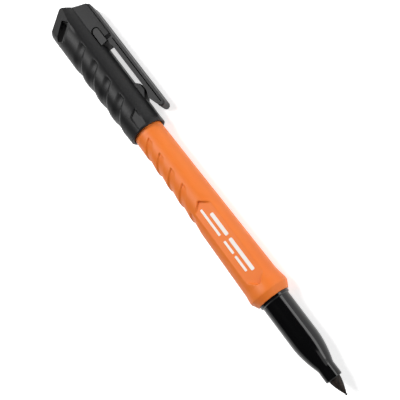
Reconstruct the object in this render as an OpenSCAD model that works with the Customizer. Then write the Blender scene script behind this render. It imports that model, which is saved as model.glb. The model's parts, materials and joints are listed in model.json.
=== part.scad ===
// Felt tip marker, lying on a table with its cap posted on the back of the barrel.
// Every piece is drawn standing on the nib: z is the distance from the nib's tip,
// +Y is the clip's side and +X is the crown that carries the label panel.
// lay() then turns the marker to the way it comes to rest on a table.

/* [Barrel] */
// Length of the barrel, from its front face to its closed rear end
barrel_len = 84.5; // [72:0.5:102]
// Radius of the barrel just behind the collar
barrel_front_r = 6.2; // [5.9:0.05:7.2]
// Radius of the barrel where the posted cap's mouth stands
barrel_mouth_r = 4.97; // [4.6:0.01:5.9]
// How much thinner the barrel's rear end is than at the posted cap's mouth
post_taper = 0.17; // [0.05:0.01:0.3]
// How far the raised collar at the barrel's front stands out
collar_rise = 0.25; // [0.1:0.05:0.8]
// Length of the collar's straight land
collar_land = 1.0; // [0.6:0.1:2]
// Length of the chamfer in front of the collar
collar_chamfer = 2.1; // [1.2:0.1:3]
// Wall of the barrel around the ink reservoir, at its thinnest
barrel_wall = 0.8; // [0.6:0.05:0.96]
// Thickness of the barrel's rear floor
barrel_floor = 1.5; // [1:0.1:2.5]

/* [Grip and panel] */
// Number of grip scoops on each side of the barrel
scoop_count = 4; // [2:1:5]
// Plain length between the last grip scoop and the posted cap
grip_margin = 3.5; // [2:0.1:6]
// Depth of a grip scoop
scoop_depth = 0.4; // [0.2:0.05:0.5]
// Radius of the cutter that makes a grip scoop
scoop_r = 2.6; // [1.8:0.1:3.2]
// How far round from the crown a grip scoop is centred, in degrees
scoop_down = 52; // [45:1:60]
// Slant of a grip scoop, in degrees
scoop_slant = 37; // [25:1:45]
// Length of the label panel, point to point
panel_len = 30.2; // [24:0.1:36]
// Width of the label panel
panel_w = 6.3; // [5:0.1:7]
// Width of the label panel's blunt front end
panel_tip_w = 1.1; // [0.5:0.1:2]
// Depth of the label panel's flat floor below the crown
panel_depth = 0.8; // [0.4:0.05:0.9]

/* [Front section] */
// Length of the front section that shows in front of the barrel
section_out = 28.2; // [24:0.1:34]
// How much thinner the section's straight part is than its snap ring
section_step = 0.45; // [0.3:0.01:0.6]
// Gap between the snap ring and the cap's mouth when the cap is on the writing end
snap_gap = 0.14; // [0.05:0.01:0.3]
// Length of the snap ring
snap_len = 0.9; // [0.6:0.1:1.5]
// Length of the ogive between the straight part and the neck
ogive_len = 9.9; // [8:0.1:12]
// Length of the narrow neck around the nib
neck_len = 4.0; // [3:0.1:5]
// Radius of the neck
neck_r = 2.68; // [2.4:0.01:3]
// How much thinner the skirt is than the section's straight part
skirt_step = 0.17; // [0.1:0.01:0.4]
// Length of the skirt that plugs into the barrel
skirt_len = 14; // [10:0.5:20]
// Wall of the skirt
skirt_wall = 0.7; // [0.6:0.05:0.9]

/* [Nib and ink] */
// Radius of the fibre nib
nib_r = 1.84; // [1.5:0.01:2]
// Length of the nib that shows in front of the neck
nib_out = 5.65; // [4.5:0.05:7]
// Radius of the worn-in ball at the nib's very tip
nib_tip_r = 0.55; // [0.3:0.05:0.8]
// Length of the nib that reaches into the ink reservoir
nib_soak = 5; // [3:0.5:8]
// Thickness of the film that wraps the reservoir
wrap_t = 0.2; // [0.15:0.05:0.3]

/* [Cap] */
// Wall of the cap around the posted barrel
cap_wall = 1.14; // [0.95:0.01:1.4]
// How much thinner the cap is at its mouth
mouth_taper = 0.1; // [0:0.05:0.3]
// How far the barrel's end stands inside the posted cap
post_depth = 20.9; // [17:0.1:22]
// Space between the posted barrel's end and the liner's rim
liner_space = 1.3; // [0.5:0.1:3]
// Space between the nib's tip and the liner's floor when the cap is on the writing end
tip_space = 1.35; // [0.8:0.05:3]
// Outer radius of the liner's cup
liner_r = 4.2; // [4:0.05:4.4]
// Wall of the liner
liner_wall = 0.8; // [0.6:0.05:1]
// Length of the cap's solid end, behind the liner
end_block = 11.9; // [10.5:0.1:16]
// Height of the point that the cap's end rises to
roof_rise = 3.2; // [2:0.1:4]
// Depth of the flat that is cut into the cap under the clip
under_clip_cut = 0.5; // [0.3:0.05:0.6]
// Depth of the flat on each side of the cap's mouth
mouth_flat_cut = 0.35; // [0.2:0.05:0.45]
// Length of the flat on each side of the cap's mouth
mouth_flat_len = 6.3; // [4:0.1:7]
// Number of wave scoops on each side of the cap
wave_count = 4; // [2:1:4]
// Distance from one wave scoop to the next
wave_pitch = 7.2; // [6:0.05:7.5]
// Depth of a wave scoop
wave_depth = 0.35; // [0.2:0.05:0.4]
// Radius of the cutter that makes a wave scoop
wave_r = 3.2; // [2.4:0.1:4]
// How far round from the crown a wave scoop is centred, in degrees
wave_down = 48; // [40:1:60]
// Slant of a wave scoop, in degrees
wave_slant = 30; // [20:1:40]
// Width of the lanyard slot
lanyard_w = 1.9; // [1.4:0.1:2.2]
// Length of the lanyard slot
lanyard_len = 5.2; // [4:0.1:5.4]

/* [Clip] */
// Space between the cap's flat and the clip arm above it
clip_gap = 1.98; // [1.6:0.01:3]
// Width of the clip
clip_w = 6.0; // [4.5:0.1:7]
// Thickness of the clip's outer plate
plate_t = 0.8; // [0.6:0.05:1]
// Thickness of the clip's inner flange
flange_t = 0.95; // [0.7:0.05:1.2]
// Depth of the groove along each side of the clip
groove_depth = 0.8; // [0.4:0.05:1.2]
// Depth of the whole clip arm, outer face to inner face
arm_t = 2.45; // [2.2:0.05:2.8]
// Length of the arm from its root to its free end
arm_len = 27.6; // [23:0.1:30]
// Length of the clip's root in front of the saddle
root_len = 1.7; // [1.2:0.1:2.5]
// Length of the hook's flat foot
hook_foot = 2.0; // [1:0.1:3]
// How far the hook stands out below the arm
hook_drop = 0.75; // [0.4:0.05:1.2]
// Length of the saddle that carries the clip
saddle_len = 14.2; // [12:0.1:18]
// Width of the saddle
saddle_w = 7.8; // [7:0.1:8.4]
// Length of the heel block inside the saddle
heel_len = 5.3; // [4:0.1:7]
// Height of the heel block
heel_h = 2.3; // [1.8:0.1:2.5]

/* [Clearances] */
// Gap between the barrel and the posted cap
post_gap = 0.09; // [0.05:0.01:0.1]
// Gap between pieces that are pushed together and stay together
fit_gap = 0.03; // [0.02:0.01:0.05]
// Gap between the ink reservoir and the barrel
reservoir_gap = 0.1; // [0.05:0.01:0.2]
// Gap between the ink reservoir and the barrel's rear floor
reservoir_play = 0.3; // [0.1:0.05:1]
// Gap where the clip arm flexes away from its root
flex_gap = 0.1; // [0.05:0.01:0.15]
// Gap between the clip arm and the ramp below it
ramp_gap = 0.3; // [0.2:0.05:0.5]
// Gap around the heel in its slot
heel_gap = 0.2; // [0.1:0.05:0.25]

/* [Hidden] */
$fn = 96;

// Stations along the marker, each a distance from the nib's tip
mouth_s = nib_out + section_out;            // barrel's front face
neck_s = nib_out;                           // neck's mouth
ogive_s = nib_out + neck_len;               // neck's root
collar_s = mouth_s + collar_chamfer;        // front edge of the collar's land
land_end_s = collar_s + collar_land;        // rear edge of the collar's land
skirt_s = mouth_s + skirt_len;              // rear end of the skirt
barrel_end_s = mouth_s + barrel_len;        // barrel's closed end
cap_mouth_s = barrel_end_s - post_depth;    // mouth of the posted cap
liner_s = barrel_end_s + liner_space;       // the liner's rim
liner_end_s = cap_mouth_s + mouth_s + tip_space + liner_wall;
well_end_s = liner_end_s + 1;               // floor of the well that holds the liner
cap_end_s = well_end_s + end_block;         // the cap's point
saddle_end_s = cap_end_s - roof_rise;       // rear end of the clip's plate
saddle_s = saddle_end_s - saddle_len;       // front face of the saddle
root_s = saddle_s - root_len;               // where the clip arm begins to flex
arm_end_s = root_s - arm_len;               // free end of the clip
half_len = cap_end_s / 2;

// Radii from the axis outwards
collar_r = barrel_front_r + collar_rise;
barrel_rear_r = barrel_mouth_r - post_taper;
barrel_bore_r = barrel_rear_r - barrel_wall;
wrap_r = barrel_bore_r - reservoir_gap;
core_r = wrap_r - wrap_t;
nib_bore_r = nib_r + fit_gap;
cap_bore_r = barrel_mouth_r + post_gap;
cap_deep_r = barrel_rear_r + post_gap;
snap_r = cap_bore_r - snap_gap;
section_r = snap_r - section_step;
skirt_r = section_r - skirt_step;
chamfer_r = skirt_r + 1;
cap_r = cap_bore_r + cap_wall;
cap_mouth_r = cap_r - mouth_taper;

// Heights above the cap's axis, on the clip's side
under_clip_y = cap_r - under_clip_cut;
arm_under_y = under_clip_y + clip_gap;
clip_out = arm_under_y + arm_t;
saddle_top = clip_out - plate_t;
heel_y = arm_under_y - 0.3 - heel_h;
reservoir_len = barrel_end_s - barrel_floor - reservoir_play - skirt_s;

// Lying on a table, the marker rolls until the saddle's or the clip's edge stands on it
roll = min(roll_onto(saddle_top, saddle_w / 2), roll_onto(clip_out, clip_w / 2));
clip_reach = max(reach(saddle_top, saddle_w / 2), reach(clip_out, clip_w / 2));
mid_y = (clip_reach - collar_r) / 2;

// Slope of the barrel's crown, and the stations of its pattern
taper = atan((barrel_front_r - barrel_mouth_r) / (cap_mouth_s - collar_s));
panel_s = land_end_s + 2;
first_scoop_s = panel_s + panel_len + 1;
scoop_pitch = (cap_mouth_s - grip_margin - first_scoop_s) / scoop_count;

// Turn that brings an edge, out along +Y and half_w to its side, down to the table
function roll_onto(out, half_w) = asin(collar_r / norm([out, half_w])) - atan(half_w / out);

// How far that edge's far side then reaches sideways
function reach(out, half_w) = out * cos(roll) + half_w * sin(roll);

// Radius of the barrel's plain taper at a station
function barrel_r_at(s) = barrel_front_r
    - (barrel_front_r - barrel_mouth_r) * (s - collar_s) / (cap_mouth_s - collar_s);

module lay() {
    translate([0, -mid_y, collar_r])
        rotate([-roll, 0, 0])
            translate([half_len, 0, 0])
                rotate([0, -90, 0])
                    children();
}

// A shape drawn as [distance from the tip, height towards the clip], made wide along X
module side_profile(points, width) {
    rotate([0, -90, 0])
        linear_extrude(height = width, center = true)
            polygon(points);
}

// A round cutter that grazes the surface at radius r, swept round towards the back
module scoop(s, r, cut_r, depth, down, slant) {
    translate([0, 0, s])
        rotate([0, 0, -down])
            translate([r + cut_r - depth, 0, 0])
                rotate([slant, 0, 0])
                    rotate([90, 0, 0])
                        cylinder(h = 2.5 * r, r = cut_r, center = true);
}

module grip_scoop(s) {
    scoop(s, barrel_r_at(s), scoop_r, scoop_depth, scoop_down, scoop_slant);
}

module both_sides() {
    children();
    mirror([1, 0, 0]) children();
}

// A long hexagon, blunt at its front end and pointed at its rear end
module panel_outline() {
    point = panel_w / 2 * 0.8;
    polygon([[0, panel_tip_w / 2], [point, panel_w / 2], [panel_len - point, panel_w / 2],
             [panel_len, 0], [panel_len - point, -panel_w / 2], [point, -panel_w / 2],
             [0, -panel_tip_w / 2]]);
}

module panel_cut() {
    translate([barrel_r_at(panel_s) - panel_depth, 0, panel_s])
        rotate([0, -90 - taper, 0])
            mirror([0, 0, 1])
                linear_extrude(height = 2)
                    panel_outline();
}

module barrel() {
    color("darkorange")
        difference() {
            rotate_extrude()
                polygon([[0, mouth_s], [chamfer_r, mouth_s], [collar_r, collar_s],
                         [collar_r, land_end_s], [barrel_front_r, land_end_s + 1.2],
                         [barrel_mouth_r, cap_mouth_s], [barrel_rear_r, barrel_end_s - 0.6],
                         [barrel_rear_r - 0.6, barrel_end_s], [0, barrel_end_s]]);
            translate([0, 0, mouth_s - 1])
                cylinder(h = skirt_len + 1, r = skirt_r + fit_gap);
            translate([0, 0, mouth_s])
                cylinder(h = barrel_len - barrel_floor, r = barrel_bore_r);
            both_sides() {
                panel_cut();
                for (i = [0 : scoop_count - 1])
                    grip_scoop(first_scoop_s + i * scoop_pitch);
            }
        }
}

module front_section() {
    color("black")
        difference() {
            rotate_extrude()
                polygon([[0, neck_s], [neck_r - 0.15, neck_s], [neck_r, neck_s + 0.3],
                         [neck_r, ogive_s], [neck_r + 0.25, ogive_s + 0.4],
                         each [for (i = [1 : 8]) ogive_point(i / 8)],
                         [section_r, mouth_s - snap_len - 0.3], [snap_r, mouth_s - snap_len],
                         [snap_r, mouth_s], [skirt_r, mouth_s],
                         [skirt_r, skirt_s], [0, skirt_s]]);
            translate([0, 0, neck_s - 1])
                cylinder(h = section_out, r = nib_bore_r);
            translate([0, 0, mouth_s - 4])
                cylinder(h = skirt_len + 4 + 1, r = skirt_r - skirt_wall);
        }
}

// A point of the ogive: t runs from 0 at the neck to 1 at the straight part
function ogive_point(t) = [
    neck_r + 0.25 + (section_r - neck_r - 0.25) * sin(90 * t) ^ 0.9,
    ogive_s + 0.4 + (ogive_len - 0.4) * t ];

module nib() {
    color("dimgray")
        rotate_extrude()
            polygon([each [for (a = [-90 : 18 : 0]) nib_ball(a)],
                     [nib_r * 0.72, nib_out * 0.36], [nib_r * 0.92, nib_out * 0.65],
                     [nib_r, nib_out], [nib_r, skirt_s + nib_soak], [0, skirt_s + nib_soak]]);
}

// A point of the nib's round tip
function nib_ball(a) = [nib_tip_r * cos(a), nib_tip_r * (1 + sin(a))];

module ink_reservoir() {
    color("slategray")
        difference() {
            translate([0, 0, skirt_s])
                cylinder(h = reservoir_len, r = core_r);
            translate([0, 0, skirt_s - 1])
                cylinder(h = nib_soak + 1 + fit_gap, r = nib_bore_r);
        }
}

module reservoir_film() {
    color("white")
        translate([0, 0, skirt_s])
            difference() {
                cylinder(h = reservoir_len, r = wrap_r);
                translate([0, 0, -1])
                    cylinder(h = reservoir_len + 2, r = core_r);
            }
}

module cap_outside() {
    rotate_extrude()
        polygon([[0, cap_mouth_s], [cap_mouth_r - 0.25, cap_mouth_s], [cap_mouth_r, cap_mouth_s + 0.4],
                 [cap_r, cap_mouth_s + 7], [cap_r, cap_end_s - 1.6], [cap_r - 1.6, cap_end_s],
                 [0, cap_end_s]]);
    side_profile([[saddle_s, 0], [cap_end_s, 0], [saddle_end_s + roof_rise * 0.08, saddle_top],
                  [saddle_s, saddle_top]], saddle_w);
}

// The roof-shaped end of the cap, and all the space in front of it
module cap_roof() {
    side_profile([[cap_mouth_s - 1, -cap_r - 1], [cap_end_s - roof_rise - 1.4, -cap_r - 1],
                  [cap_end_s - roof_rise * 0.75, -cap_r + 1.2], [cap_end_s, 0],
                  [saddle_end_s, clip_out], [cap_mouth_s - 1, clip_out]], 4 * cap_r);
}

module under_clip_flat() {
    translate([-clip_w / 2 - 1, under_clip_y, arm_end_s - 3])
        cube([clip_w + 2, 3, saddle_s - arm_end_s + 3]);
}

module ramp() {
    top = arm_under_y - ramp_gap;
    front_s = arm_end_s + 5.6;
    side_profile([[front_s, under_clip_y - 1], [front_s, under_clip_y], [front_s + 2.4, top],
                  [front_s + 4.8, top], [front_s + 6.4, under_clip_y],
                  [front_s + 6.4, under_clip_y - 1]], clip_w * 0.8);
}

module cap_shell() {
    first_wave_s = cap_mouth_s + mouth_flat_len + 0.9;
    color("dimgray")
        difference() {
            union() {
                difference() {
                    intersection() {
                        cap_outside();
                        cap_roof();
                    }
                    under_clip_flat();
                }
                ramp();
            }
            bore_cut();
            heel_slot(heel_gap);
            lanyard_slot();
            both_sides() {
                translate([cap_r - mouth_flat_cut, -cap_r / 2, cap_mouth_s - 1])
                    cube([1, cap_r, mouth_flat_len + 1]);
                for (i = [0 : wave_count - 1])
                    scoop(first_wave_s + i * wave_pitch, cap_r, wave_r, wave_depth, wave_down,
                          wave_slant);
            }
        }
}

// The cap's inside: a tapered socket for the barrel, then a well for the liner
module bore_cut() {
    rotate_extrude()
        polygon([[0, cap_mouth_s - 1], [cap_bore_r, cap_mouth_s - 1], [cap_bore_r, cap_mouth_s],
                 [cap_deep_r, barrel_end_s], [cap_deep_r, liner_s + 0.8],
                 [liner_r + fit_gap, liner_s + 0.8], [liner_r + fit_gap, well_end_s],
                 [0, well_end_s]]);
}

// The slot across the saddle that the heel slides into from the front
module heel_slot(gap) {
    slot_end_s = saddle_s + heel_len + gap;
    mid = heel_y + heel_h / 2;
    translate([0, mid, slot_end_s - heel_h / 2])
        rotate([0, 90, 0])
            cylinder(h = saddle_w + 2, r = heel_h / 2 + gap, center = true);
    translate([-saddle_w / 2 - 1, heel_y - gap, saddle_s - 1])
        cube([saddle_w + 2, heel_h + 2 * gap, heel_len - heel_h / 2 + gap + 1]);
}

module lanyard_slot() {
    slope = atan(roof_rise * 0.75 / (cap_r - 1.2));
    translate([0, -2.4, cap_end_s - 5.7])
        rotate([slope, 0, 0])
            cube([4 * cap_r, lanyard_len, lanyard_w], center = true);
}

module cap_liner() {
    flange_t = 0.8;
    color("whitesmoke")
        rotate_extrude()
            polygon([[liner_r - liner_wall, liner_s], [cap_deep_r - fit_gap, liner_s],
                     [cap_deep_r - fit_gap, liner_s + flange_t], [liner_r, liner_s + flange_t],
                     [liner_r, liner_end_s - 0.6], [liner_r - 0.6, liner_end_s], [0, liner_end_s],
                     [0, liner_end_s - liner_wall], [liner_r - liner_wall, liner_end_s - liner_wall]]);
}

// The fixed half of the clip: its plate over the saddle and the heel inside it
module clip_heel() {
    mid = heel_y + heel_h / 2;
    slope = saddle_end_s + roof_rise * plate_t / clip_out;
    web_y = under_clip_y + heel_gap;
    color("black") {
        side_profile([[root_s, saddle_top + 0.02], [slope, saddle_top + 0.02],
                      [saddle_end_s, clip_out], [root_s, clip_out]], clip_w);
        translate([-clip_w / 2 + groove_depth, web_y, root_s])
            cube([clip_w - 2 * groove_depth, saddle_top + 0.1 - web_y, saddle_s - root_s - 0.15]);
        translate([-saddle_w / 2 + 0.1, heel_y, saddle_s - 0.6])
            cube([saddle_w - 0.2, heel_h, heel_len - heel_h / 2 + 0.6]);
        translate([0, mid, saddle_s + heel_len - heel_h / 2])
            rotate([0, 90, 0])
                cylinder(h = saddle_w - 0.2, r = heel_h / 2, center = true);
    }
}

// The free half of the clip: an I-shaped arm with a hook near its end
module clip_arm() {
    start_s = root_s - flex_gap;
    hook_s = arm_end_s + 2.2;
    color("black") {
        side_profile([[arm_end_s + 0.5, saddle_top], [start_s, saddle_top], [start_s, clip_out],
                      [arm_end_s + 0.9, clip_out], [arm_end_s, clip_out - 0.7]], clip_w);
        side_profile([[arm_end_s + 1.2, arm_under_y + 0.5], [start_s, arm_under_y + 0.5],
                      [start_s, saddle_top + 0.1], [arm_end_s + 1.2, saddle_top + 0.1]],
                     clip_w - 2 * groove_depth);
        side_profile([[arm_end_s + 0.8, arm_under_y + flange_t], [arm_end_s + 1.6, arm_under_y],
                      [hook_s, arm_under_y], [hook_s + 1.4, arm_under_y - hook_drop],
                      [hook_s + 1.4 + hook_foot, arm_under_y - hook_drop],
                      [hook_s + 2.6 + hook_foot, arm_under_y],
                      [start_s, arm_under_y], [start_s, arm_under_y + flange_t]], clip_w - 0.5);
    }
}

lay() barrel();
lay() front_section();
lay() nib();
lay() ink_reservoir();
lay() reservoir_film();
lay() cap_shell();
lay() cap_liner();
lay() clip_heel();
lay() clip_arm();
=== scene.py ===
"""The looks of a felt tip marker that lies with its cap posted on the back of its barrel.

Every piece is modelled on a workbench in millimetres: the marker's axis is the X axis,
the nib's tip is at the origin and the marker runs away from it along -X. +Y is the side
that the clip is on and +Z is the crown that carries the label panel. Lie.lay() then
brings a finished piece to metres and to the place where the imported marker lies.
"""
import json
import logging
import math
from dataclasses import dataclass, field
from enum import Enum
from typing import Callable, Iterable, Sequence

import bpy
from mathutils import Matrix, Vector


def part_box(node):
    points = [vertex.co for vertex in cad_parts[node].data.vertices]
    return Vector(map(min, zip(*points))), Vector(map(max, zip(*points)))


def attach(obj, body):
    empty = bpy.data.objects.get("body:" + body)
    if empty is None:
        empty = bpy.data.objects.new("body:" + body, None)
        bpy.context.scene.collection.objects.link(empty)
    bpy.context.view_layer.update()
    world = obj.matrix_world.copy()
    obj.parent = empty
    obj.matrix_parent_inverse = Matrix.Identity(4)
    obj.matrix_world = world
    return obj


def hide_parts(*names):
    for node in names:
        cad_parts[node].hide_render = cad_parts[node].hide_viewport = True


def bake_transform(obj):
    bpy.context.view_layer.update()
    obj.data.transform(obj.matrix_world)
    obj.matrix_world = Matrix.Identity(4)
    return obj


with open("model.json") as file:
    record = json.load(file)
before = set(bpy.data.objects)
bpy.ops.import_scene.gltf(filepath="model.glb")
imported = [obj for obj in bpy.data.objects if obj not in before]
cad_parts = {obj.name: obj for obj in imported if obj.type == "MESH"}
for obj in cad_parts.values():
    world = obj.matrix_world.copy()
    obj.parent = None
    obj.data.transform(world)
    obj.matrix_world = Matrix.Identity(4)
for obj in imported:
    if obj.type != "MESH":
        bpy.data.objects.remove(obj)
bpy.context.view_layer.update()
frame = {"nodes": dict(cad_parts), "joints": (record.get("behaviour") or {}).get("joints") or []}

MM = 0.001
log = logging.getLogger("marker")

Outline = list[tuple[float, float]]
Relief = Callable[[float, float, float], float]


class Cut(Enum):
    """How one solid acts on another."""

    ADD = "UNION"
    REMOVE = "DIFFERENCE"
    KEEP = "INTERSECT"


# ---------------------------------------------------------------- where the marker lies


@dataclass(frozen=True)
class Lie:
    """Where the marker's axis runs in the row frame, and how far the marker has rolled."""

    tip: Vector
    roll: float

    @classmethod
    def from_frame(cls) -> "Lie":
        """Reads the axis from the round nib and the roll from the clip's hinge.

        Returns:
            The marker's lie, in metres and radians.
        """
        low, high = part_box("nib")
        hinge = next(j for j in frame["joints"] if j["name"] == "clip_flex")
        _, across, up = hinge["axis"]
        centre = (low + high) / 2
        return cls(Vector((high.x, centre.y, centre.z)), math.atan2(across, up))

    def span(self, node: str) -> tuple[float, float]:
        """Finds a CAD node's two ends along the marker.

        Args:
            node: Name of the CAD node.

        Returns:
            Its front and rear stations, in millimetres from the nib's tip.
        """
        low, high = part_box(node)
        return (self.tip.x - high.x) / MM, (self.tip.x - low.x) / MM

    def radius(self, node: str) -> float:
        """Gives the largest radius of a round CAD node, in millimetres."""
        low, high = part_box(node)
        return (high.z - low.z) / 2 / MM

    def matrix(self) -> Matrix:
        """Gives the move from the workbench to the row frame."""
        return Matrix.Translation(self.tip) @ Matrix.Rotation(-self.roll, 4, "X")

    def point(self, station: float, y: float = 0.0, z: float = 0.0) -> Vector:
        """Gives a workbench point's place in the row frame, in metres."""
        return self.matrix() @ (at(station, y, z) * MM)

    def lay(self, piece: bpy.types.Object) -> None:
        """Brings a finished piece from the workbench to where the marker lies.

        Its object ends at the origin, in metres, with the place kept in its mesh.

        Args:
            piece: The finished piece, in millimetres.
        """
        pick(piece)
        piece.scale = (MM, MM, MM)
        piece.rotation_euler = (-self.roll, 0.0, 0.0)
        piece.location = self.tip
        bpy.ops.object.transform_apply(location=True, rotation=True, scale=True)


# ---------------------------------------------------------------- workbench


def at(station: float, y: float = 0.0, z: float = 0.0) -> Vector:
    """Gives the workbench point at a station behind the nib's tip."""
    return Vector((-station, y, z))


def pick(*pieces: bpy.types.Object) -> None:
    """Selects only these pieces and makes the first one active."""
    bpy.ops.object.select_all(action="DESELECT")
    for piece in pieces:
        piece.select_set(True)
    bpy.context.view_layer.objects.active = pieces[0]


def apply_modifier(piece: bpy.types.Object, kind: str, **settings) -> None:
    """Adds a modifier to a piece and applies it.

    Args:
        piece: The piece to change.
        kind: The modifier's type.
        **settings: The modifier's settings.
    """
    pick(piece)
    modifier = piece.modifiers.new(kind.lower(), kind)
    for name, value in settings.items():
        setattr(modifier, name, value)
    bpy.ops.object.modifier_apply(modifier=modifier.name)


def start_point(name: str, place: Vector) -> bpy.types.Object:
    """Draws a small plane together into one vertex and leaves it open in edit mode.

    Args:
        name: Name of the new piece.
        place: Where the vertex goes.

    Returns:
        The new piece.
    """
    bpy.ops.object.select_all(action="DESELECT")
    bpy.ops.mesh.primitive_plane_add(size=1.0)
    piece = bpy.context.object
    piece.name = piece.data.name = name
    bpy.ops.object.mode_set(mode="EDIT")
    bpy.ops.mesh.select_mode(type="VERT")
    bpy.ops.mesh.merge(type="CENTER")
    bpy.ops.transform.translate(value=place)
    return piece


def draw_line(points: Sequence[Vector]) -> None:
    """Extrudes the selected vertex from the first point along all the others."""
    for before, after in zip(points, points[1:]):
        bpy.ops.mesh.extrude_region_move(TRANSFORM_OT_translate={"value": after - before})


def turn(name: str, outline: Outline, steps: int = 128) -> bpy.types.Object:
    """Turns an outline round the marker's axis, as on a lathe.

    Args:
        name: Name of the new piece.
        outline: Stations and radii, from one end of the outline to the other.
        steps: Number of steps round the axis.

    Returns:
        The turned solid, closed and facing outwards.
    """
    points = [at(station, 0.0, radius) for station, radius in outline]
    piece = start_point(name, points[0])
    draw_line(points)
    bpy.ops.mesh.select_all(action="SELECT")
    bpy.ops.mesh.spin(steps=steps, angle=2 * math.pi, center=(0, 0, 0), axis=(1, 0, 0))
    tidy_mesh()
    return piece


def slab(name: str, outline: Outline, width: float) -> bpy.types.Object:
    """Extrudes a flat outline across the marker, as wide on the crown's side as below.

    Args:
        name: Name of the new piece.
        outline: Stations and heights towards the clip, round the outline.
        width: Width of the slab.

    Returns:
        The closed solid.
    """
    points = [at(station, height, -width / 2) for station, height in outline]
    piece = start_point(name, points[0])
    draw_line(points)
    bpy.ops.mesh.select_all(action="SELECT")
    bpy.ops.mesh.edge_face_add()
    bpy.ops.mesh.extrude_region_move(TRANSFORM_OT_translate={"value": (0, 0, width)})
    tidy_mesh()
    return piece


def block(name: str, front: float, rear: float, low: tuple[float, float],
          high: tuple[float, float]) -> bpy.types.Object:
    """Adds a box between two stations.

    Args:
        name: Name of the new piece.
        front: Station of its front face.
        rear: Station of its rear face.
        low: Lowest Y and Z.
        high: Highest Y and Z.

    Returns:
        The box.
    """
    bpy.ops.object.select_all(action="DESELECT")
    start, end = at(rear, *low), at(front, *high)
    bpy.ops.mesh.primitive_cube_add(size=1.0, location=(start + end) / 2, scale=end - start)
    piece = bpy.context.object
    piece.name = piece.data.name = name
    bpy.ops.object.transform_apply(location=True, rotation=True, scale=True)
    return piece


def tidy_mesh() -> None:
    """Merges doubles, turns the faces outwards and leaves edit mode."""
    bpy.ops.mesh.select_all(action="SELECT")
    bpy.ops.mesh.remove_doubles(threshold=0.001)
    bpy.ops.mesh.normals_make_consistent(inside=False)
    bpy.ops.object.mode_set(mode="OBJECT")


def combine(piece: bpy.types.Object, how: Cut, *tools: bpy.types.Object) -> None:
    """Adds tools to a piece, or cuts it with them, and then clears the tools away.

    Args:
        piece: The piece that stays.
        how: What each tool does to it.
        *tools: The solids that act on it.
    """
    for tool in tools:
        apply_modifier(piece, "BOOLEAN", object=tool, operation=how.value, solver="EXACT")
        bpy.data.objects.remove(tool)


def round_edges(piece: bpy.types.Object, width: float, segments: int = 3,
                from_degrees: float = 30.0) -> None:
    """Rounds all edges of a piece that are sharper than an angle."""
    apply_modifier(piece, "BEVEL", width=width, segments=segments, limit_method="ANGLE",
                   angle_limit=math.radians(from_degrees), use_clamp_overlap=True)


def bevel_where(piece: bpy.types.Object, chosen: Callable[[Vector, Vector], bool],
                width: float, segments: int) -> None:
    """Bevels the edges of a piece that a rule chooses by their two ends."""
    pick(piece)
    bpy.ops.object.mode_set(mode="EDIT")
    bpy.ops.mesh.select_mode(type="EDGE")
    bpy.ops.mesh.select_all(action="DESELECT")
    bpy.ops.object.mode_set(mode="OBJECT")
    for edge in piece.data.edges:
        edge.select = chosen(*(piece.data.vertices[i].co for i in edge.vertices))
    bpy.ops.object.mode_set(mode="EDIT")
    bpy.ops.mesh.bevel(offset=width, segments=segments, affect="EDGES")
    bpy.ops.object.mode_set(mode="OBJECT")


def cut_loops(piece: bpy.types.Object, stations: Iterable[float]) -> None:
    """Cuts a loop of edges across a piece at each station."""
    pick(piece)
    bpy.ops.object.mode_set(mode="EDIT")
    for station in stations:
        bpy.ops.mesh.select_all(action="SELECT")
        bpy.ops.mesh.bisect(plane_co=at(station), plane_no=(1, 0, 0))
    bpy.ops.object.mode_set(mode="OBJECT")


def press_relief(piece: bpy.types.Object, relief: Relief, deepest: float) -> None:
    """Presses a relief into a turned piece with a weighted Displace modifier.

    Args:
        piece: The piece, whose loops are close enough to take the relief.
        relief: Gives the depth at a station, a height towards the clip and a height
            towards the crown.
        deepest: The greatest depth that the relief has.
    """
    group = piece.vertex_groups.new(name="relief")
    for vertex in piece.data.vertices:
        depth = relief(-vertex.co.x, vertex.co.y, vertex.co.z)
        group.add([vertex.index], min(depth / deepest, 1.0), "REPLACE")
    apply_modifier(piece, "DISPLACE", direction="NORMAL", mid_level=0.0,
                   strength=-deepest, vertex_group=group.name)
    piece.vertex_groups.clear()


def shade(piece: bpy.types.Object, degrees: float) -> None:
    """Shades a piece smooth, apart from its sharp edges."""
    pick(piece)
    bpy.ops.object.shade_smooth_by_angle(angle=math.radians(degrees))
    apply_modifier(piece, "WEIGHTED_NORMAL", mode="FACE_AREA", keep_sharp=True)


def stretch(front: Sequence[float], rear: Sequence[float], step: float) -> Outline:
    """Gives evenly spaced points from one outline point up to another, both included."""
    count = max(1, round(abs(rear[0] - front[0]) / step))
    return [(front[0] + (rear[0] - front[0]) * i / count,
             front[1] + (rear[1] - front[1]) * i / count) for i in range(count + 1)]


def round_end(reach: float, low: float, high: float) -> Outline:
    """Gives the half circle that closes a slot or a tongue at its rear end.

    Args:
        reach: Station of the half circle's rearmost point.
        low: Height of its lower end.
        high: Height of its upper end.

    Returns:
        Its points, from the lower end to the upper one.
    """
    radius = (high - low) / 2
    angles = (math.radians(-90 + 18 * i) for i in range(11))
    return [(reach - radius + radius * math.cos(a), low + radius + radius * math.sin(a))
            for a in angles]


def mix(a: float, b: float, share: float) -> float:
    """Gives the value that lies a share of the way from a to b."""
    return a + (b - a) * share


def ramp(value: float, start: float, end: float) -> float:
    """Rises smoothly from 0 at start to 1 at end."""
    t = min(max((value - start) / (end - start), 0.0), 1.0)
    return t * t * (3 - 2 * t)


# ---------------------------------------------------------------- relief


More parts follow.
